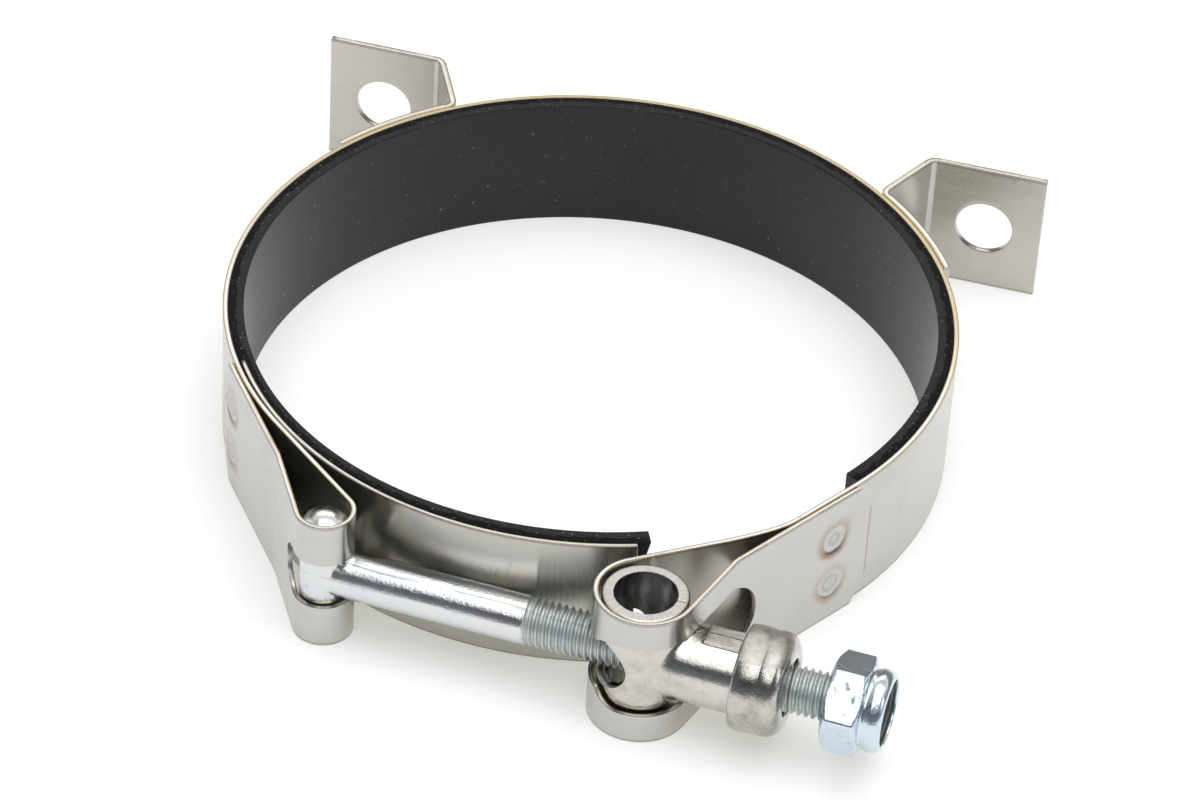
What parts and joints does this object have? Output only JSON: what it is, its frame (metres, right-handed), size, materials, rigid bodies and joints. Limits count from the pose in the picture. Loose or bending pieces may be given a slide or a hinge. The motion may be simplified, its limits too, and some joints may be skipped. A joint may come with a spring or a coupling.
{
  "type": "t bolt clamp",
  "caption": "Rubber-lined stainless T-bolt band clamp with a trunnion, lock nut and bent mounting tabs; it grips a round tank or pipe and fixes it to a flat surface.",
  "frame": {"origin": "centre of the clamp's bore at its lower edge, which lies on the resting plane", "axes": "+Z along the bore, up; +X along the bolt from its head to its nut; +Y from the bolt to the mounting tabs"},
  "size_m": [0.1045, 0.1078, 0.0191],
  "materials": {
    "strip_steel": "bright rolled stainless strip",
    "bright_steel": "polished drawn stainless sheet",
    "zinc": "clear zinc plating with a faint bluish tint",
    "rubber": "matt black",
    "nylon": "dark nylon"
  },
  "bodies": {
    "ring": {"band": "strip_steel", "tongue": "strip_steel", "liner": "rubber", "left_tab": "strip_steel", "right_tab": "strip_steel"},
    "bolt": {"t_bolt": "zinc"},
    "trunnion": {"trunnion": "bright_steel", "trunnion_cap": "bright_steel"},
    "nut_ring": {"nylon_insert": "nylon"},
    "nut": {"lock_nut": "zinc"}
  },
  "joints": [
    {"name": "t_bolt_swing", "type": "hinge", "parent": "ring", "child": "bolt", "pos_m": [-0.02011, -0.05027, 0.00953], "axis": [0, 0, 1], "range_deg": [-0.9, 0.1]},
    {"name": "trunnion_pivot", "type": "hinge", "parent": "ring", "child": "trunnion", "pos_m": [0.02154, -0.05226, 0.00953], "axis": [0, 0, 1], "range_deg": [-2.99, 0.38]},
    {"name": "nut_travel", "type": "slide", "parent": "bolt", "child": "nut_ring", "axis": [-0.9989, 0.0479, 0], "range_m": [-0.0036, 0.0046]},
    {"name": "nut_spin", "type": "hinge", "parent": "nut_ring", "child": "nut", "pos_m": [0.04571, -0.05342, 0.00953], "axis": [-0.9989, 0.0479, 0], "range_deg": [-1428, 1825]}
  ],
  "couplings": [
    {"joint": "trunnion_pivot", "follows": "t_bolt_swing", "ratio": 3.2661},
    {"joint": "nut_travel", "follows": "nut_spin", "m_per_rad": 0.00014435}
  ]
}
